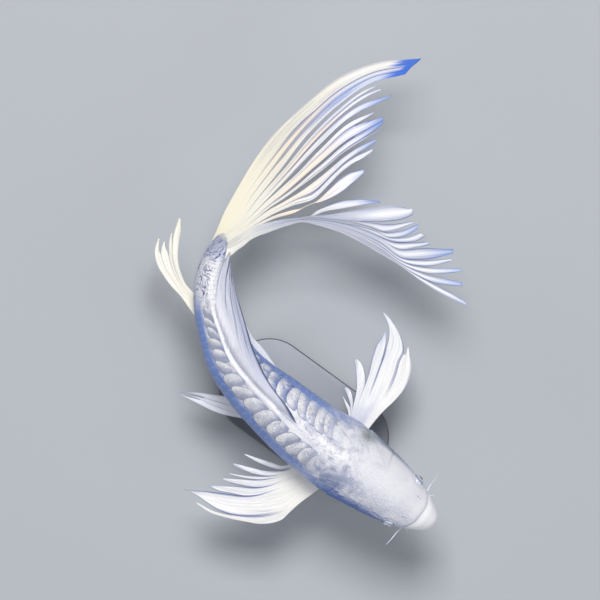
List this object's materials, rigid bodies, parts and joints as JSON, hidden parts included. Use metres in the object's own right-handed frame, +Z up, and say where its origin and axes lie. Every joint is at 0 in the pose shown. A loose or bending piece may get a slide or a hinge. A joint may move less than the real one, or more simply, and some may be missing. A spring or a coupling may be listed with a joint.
{
  "type": "long-finned koi carp display model",
  "caption": "Life-size still model of a white long-finned koi carp turning to its left, with fanned pectoral and tail fins, on a flat base with short rods.",
  "frame": {"origin": "centre of the stand base's flat underside", "axes": "+X the way the fish's head points, +Y to the fish's left, +Z up"},
  "size_m": [0.4056, 0.5098, 0.1954],
  "materials": {
    "pearl_skin": "satin pearl, painted",
    "eye": "gloss",
    "barbel_skin": "satin",
    "fin_web": "satin pearl, painted",
    "stand_metal": "satin"
  },
  "bodies": {
    "root": {"head": "pearl_skin", "trunk_front": "pearl_skin", "trunk_rear": "pearl_skin", "tail_stalk": "pearl_skin", "eye_left": "eye", "eye_right": "eye", "barbel_long_left": "barbel_skin", "barbel_long_right": "barbel_skin", "barbel_short_left": "barbel_skin", "barbel_short_right": "barbel_skin", "pectoral_fin_left": "fin_web", "pectoral_fin_right": "fin_web", "pelvic_fin_left": "fin_web", "pelvic_fin_right": "fin_web", "dorsal_fin": "fin_web", "anal_fin": "fin_web", "tail_fin_lower_lobe": "fin_web", "tail_fin_upper_lobe": "fin_web", "stand_base": "stand_metal", "stand_rod_front": "stand_metal", "stand_rod_rear": "stand_metal"}
  },
  "joints": []
}
